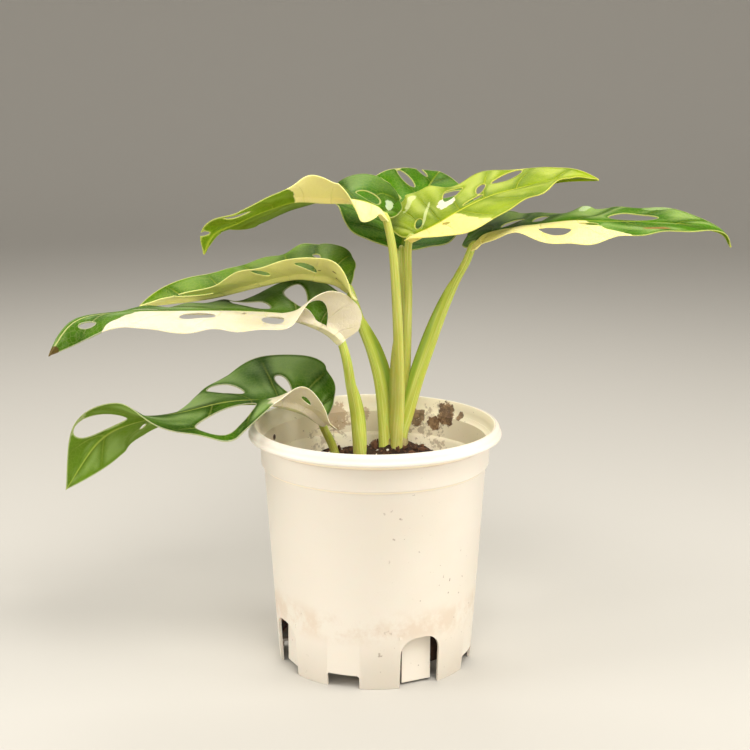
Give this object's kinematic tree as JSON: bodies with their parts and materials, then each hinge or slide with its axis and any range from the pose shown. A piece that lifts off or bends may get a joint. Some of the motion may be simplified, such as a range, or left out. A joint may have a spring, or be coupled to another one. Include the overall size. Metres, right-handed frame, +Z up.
{
  "type": "potted variegated swiss cheese vine",
  "caption": "House plant with long perforated green and cream leaves on sheathed stalks, rooted in potting mix in a slotted white nursery pot.",
  "frame": {"origin": "on the surface the pot stands on, under the middle of the whole plant's box", "axes": "+X is to the right in the front view, along the longest reach of the leaves; +Y points to the back; +Z is up"},
  "size_m": [0.322, 0.2136, 0.2449],
  "materials": {
    "pot": "satin",
    "soil": "matte",
    "stalk": "satin",
    "leaf": "satin",
    "leaf_pale": "satin",
    "leaf_lime": "satin"
  },
  "bodies": {
    "root": {"pot": "pot", "soil": "soil", "crown": "stalk", "stalk_low_left": "stalk", "stalk_white_left": "stalk", "stalk_mid_left": "stalk", "stalk_top_left": "stalk", "stalk_top_right": "stalk", "stalk_far_right": "stalk", "stalk_back": "stalk", "leaf_low_left": "leaf", "leaf_white_left": "leaf_pale", "leaf_mid_left": "leaf_pale", "leaf_top_left": "leaf_pale", "leaf_top_right": "leaf_lime", "leaf_far_right": "leaf_lime", "leaf_back": "leaf"}
  },
  "joints": []
}
